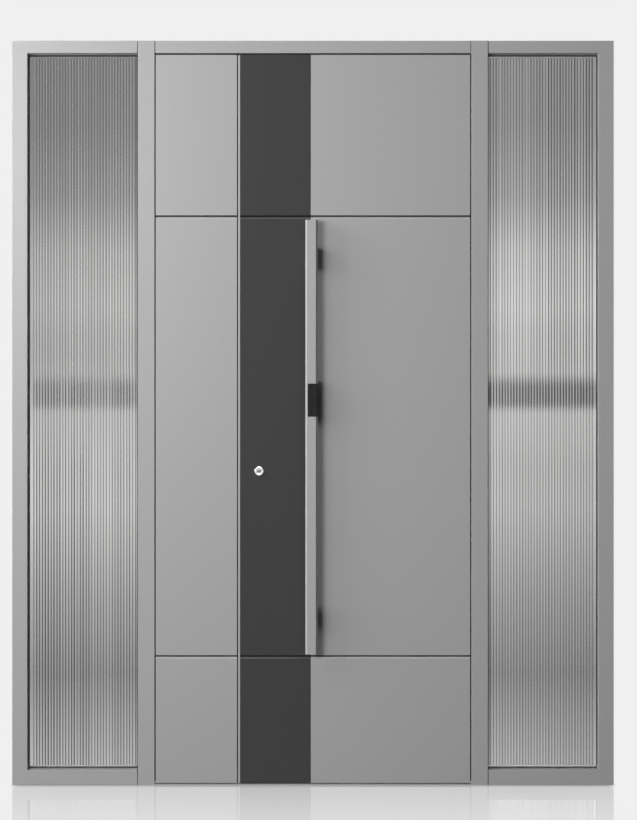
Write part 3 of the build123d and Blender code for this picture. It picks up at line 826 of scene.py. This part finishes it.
def surroundings():
    """Pale backdrop, a little light from the left, and a graded view behind the glass."""
    world = bpy.data.worlds.new("studio")
    bpy.context.scene.world = world
    world.use_nodes = True
    tree = world.node_tree
    tree.nodes.clear()
    out = add(tree, "ShaderNodeOutputWorld")
    path = add(tree, "ShaderNodeLightPath")
    coordinates = add(tree, "ShaderNodeTexCoord")
    parts = add(tree, "ShaderNodeSeparateXYZ")
    tree.links.new(coordinates.outputs["Generated"], parts.inputs["Vector"])
    depth = calculate(tree, "ABSOLUTE", parts.outputs["Y"])
    bearing = calculate(tree, "ARCTAN2", parts.outputs["X"], depth)
    upward = span(tree, parts.outputs["Z"], -1.0, 1.0, -HORIZON_BLEND, HORIZON_BLEND)
    ahead = span(tree, parts.outputs["Y"], 0.0, 1.0, *AHEAD)
    slant = calculate(tree, "MULTIPLY", calculate(tree, "MULTIPLY", bearing, upward), ahead)

    turned_bearing = calculate(tree, "MULTIPLY", bearing, STRIPE_TURNS)
    wave_angle = calculate(tree, "ADD", turned_bearing, STRIPE_SHIFT)
    wave = calculate(tree, "SINE", wave_angle)
    horizon = graded_ramp(tree, parts.outputs["Z"], HORIZON_STOPS)
    horizon_side = span(tree, bearing, HORIZON_DEPTH_LEFT, HORIZON_DEPTH, *HORIZON_SIDES)
    left_stripes = span(tree, bearing, HORIZON_STRIPES, 0.0, *HORIZON_SIDES)
    horizon_left = calculate(tree, "MULTIPLY", horizon, left_stripes)
    twisted = calculate(tree, "ADD", calculate(tree, "MULTIPLY", slant, STRIPE_TWIST), STRIPE_DEPTH)
    wave_depth = calculate(tree, "ADD", twisted, horizon_left)
    stripes = calculate(tree, "ADD", calculate(tree, "MULTIPLY", wave, wave_depth), 1.0)
    dimmed = calculate(tree, "SUBTRACT", 1.0, calculate(tree, "MULTIPLY", horizon, horizon_side))
    level = calculate(tree, "ADD", calculate(tree, "MULTIPLY", slant, LEVEL_TWIST), 1.0)
    shade = calculate(tree, "MULTIPLY", calculate(tree, "MULTIPLY", dimmed, level), VIEW_LEVEL)
    view = calculate(tree, "MULTIPLY", graded_ramp(tree, parts.outputs["Z"], VIEW_STOPS), shade)
    side = span(tree, parts.outputs["X"], SIDE_LIGHT, 0.0, *SIDE_RANGE)
    sky = span(tree, parts.outputs["Z"], 0.0, SKY_GLOSS, *SKY_RANGE)
    gloss = calculate(tree, "ADD", sky, side)

    lit = add(tree, "ShaderNodeBackground")
    tree.links.new(calculate(tree, "ADD", side, SOFT_LIGHT), lit.inputs["Color"])
    seen = add(tree, "ShaderNodeBackground")
    seen.inputs["Color"].default_value = (*PALE, 1)
    reflected = add(tree, "ShaderNodeBackground")
    tree.links.new(calculate(tree, "ADD", gloss, PALE[0]), reflected.inputs["Color"])
    through = add(tree, "ShaderNodeBackground")
    tree.links.new(calculate(tree, "MULTIPLY", view, stripes), through.inputs["Color"])
    # Later rows win: sharp mirror images see the plain backdrop, not the lights
    shader = lit.outputs["Background"]
    for flag, chosen in (
        ("Is Glossy Ray", reflected),
        ("Is Singular Ray", seen),
        ("Is Transmission Ray", through),
        ("Is Camera Ray", seen),
    ):
        mix = add(tree, "ShaderNodeMixShader")
        tree.links.new(path.outputs[flag], mix.inputs["Fac"])
        tree.links.new(shader, mix.inputs[1])
        tree.links.new(chosen.outputs["Background"], mix.inputs[2])
        shader = mix.outputs["Shader"]
    tree.links.new(shader, out.inputs["Surface"])


surroundings()


# Floor

# Lengths from the door's middle plane in metres, shares of the floor's look
FLOOR_REACH = 30.0
FLOOR_ALBEDO = 0.06
MIRROR_NEAR = 0.42
MIRROR_START = 0.06
MIRROR_REACH = 1.2
MIRROR_SIDES = (0.95, 0.98)
SHADOW_SHARE = 0.03
SHADOW_EDGE = (0.75, 0.97)
CONTACT_SHARE = 0.5
CONTACT_REACH = 0.04


def studio_floor():
    """Pale floor that fades into the backdrop, with a contact shadow and a faint mirror image."""
    mesh = bpy.data.meshes.new("studio_floor")
    corners = [(-1, -1), (1, -1), (1, 1), (-1, 1)]
    mesh.from_pydata([(x * FLOOR_REACH, y * FLOOR_REACH, 0) for x, y in corners], [], [(0, 1, 2, 3)])
    floor = bpy.data.objects.new("studio_floor", mesh)
    bpy.context.scene.collection.objects.link(floor)
    material = bpy.data.materials.new("studio_floor")
    material.use_nodes = True
    tree = material.node_tree
    tree.nodes.clear()
    out = add(tree, "ShaderNodeOutputMaterial")
    path = add(tree, "ShaderNodeLightPath")
    lit = add(tree, "ShaderNodeBsdfDiffuse")
    lit.inputs["Color"].default_value = (FLOOR_ALBEDO, FLOOR_ALBEDO, FLOOR_ALBEDO, 1)
    pale = add(tree, "ShaderNodeEmission")
    pale.inputs["Color"].default_value = (*PALE, 1)
    mirror = add(tree, "ShaderNodeBsdfGlossy")
    mirror.inputs["Color"].default_value = (1, 1, 1, 1)
    mirror.inputs["Roughness"].default_value = 0.0
    coordinates = add(tree, "ShaderNodeTexCoord")
    parts = add(tree, "ShaderNodeSeparateXYZ")
    tree.links.new(coordinates.outputs["Object"], parts.inputs["Vector"])
    distance = calculate(tree, "ABSOLUTE", parts.outputs["Y"])
    sideways = calculate(tree, "ABSOLUTE", parts.outputs["X"])
    width_share = span(tree, sideways, 1.0, 0.0, *MIRROR_SIDES)
    fading = span(tree, distance, MIRROR_NEAR, 0.0, MIRROR_START, MIRROR_REACH)
    mirror_share = calculate(tree, "MULTIPLY", fading, width_share)
    with_mirror = add(tree, "ShaderNodeMixShader")
    tree.links.new(mirror_share, with_mirror.inputs["Fac"])
    tree.links.new(pale.outputs["Emission"], with_mirror.inputs[1])
    tree.links.new(mirror.outputs["BSDF"], with_mirror.inputs[2])
    near = calculate(tree, "MAXIMUM", distance, sideways)
    foot = -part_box("left_jamb")[0][1]
    contact = span(tree, distance, CONTACT_SHARE, 0.0, foot, foot + CONTACT_REACH)
    touching = calculate(tree, "MULTIPLY", contact, width_share)
    soft_shadow = span(tree, near, SHADOW_SHARE, 0.0, *SHADOW_EDGE)
    shadow_share = calculate(tree, "MAXIMUM", soft_shadow, touching)
    shadowed = add(tree, "ShaderNodeMixShader")
    tree.links.new(shadow_share, shadowed.inputs["Fac"])
    tree.links.new(with_mirror.outputs["Shader"], shadowed.inputs[1])
    tree.links.new(lit.outputs["BSDF"], shadowed.inputs[2])
    final = add(tree, "ShaderNodeMixShader")
    seen = calculate(tree, "MAXIMUM", path.outputs["Is Camera Ray"], path.outputs["Is Glossy Ray"])
    tree.links.new(seen, final.inputs["Fac"])
    tree.links.new(lit.outputs["BSDF"], final.inputs[1])
    tree.links.new(shadowed.outputs["Shader"], final.inputs[2])
    tree.links.new(final.outputs["Shader"], out.inputs["Surface"])
    mesh.materials.append(material)
    floor.visible_transmission = False


studio_floor()

bpy.context.scene.view_settings.view_transform = "Standard"
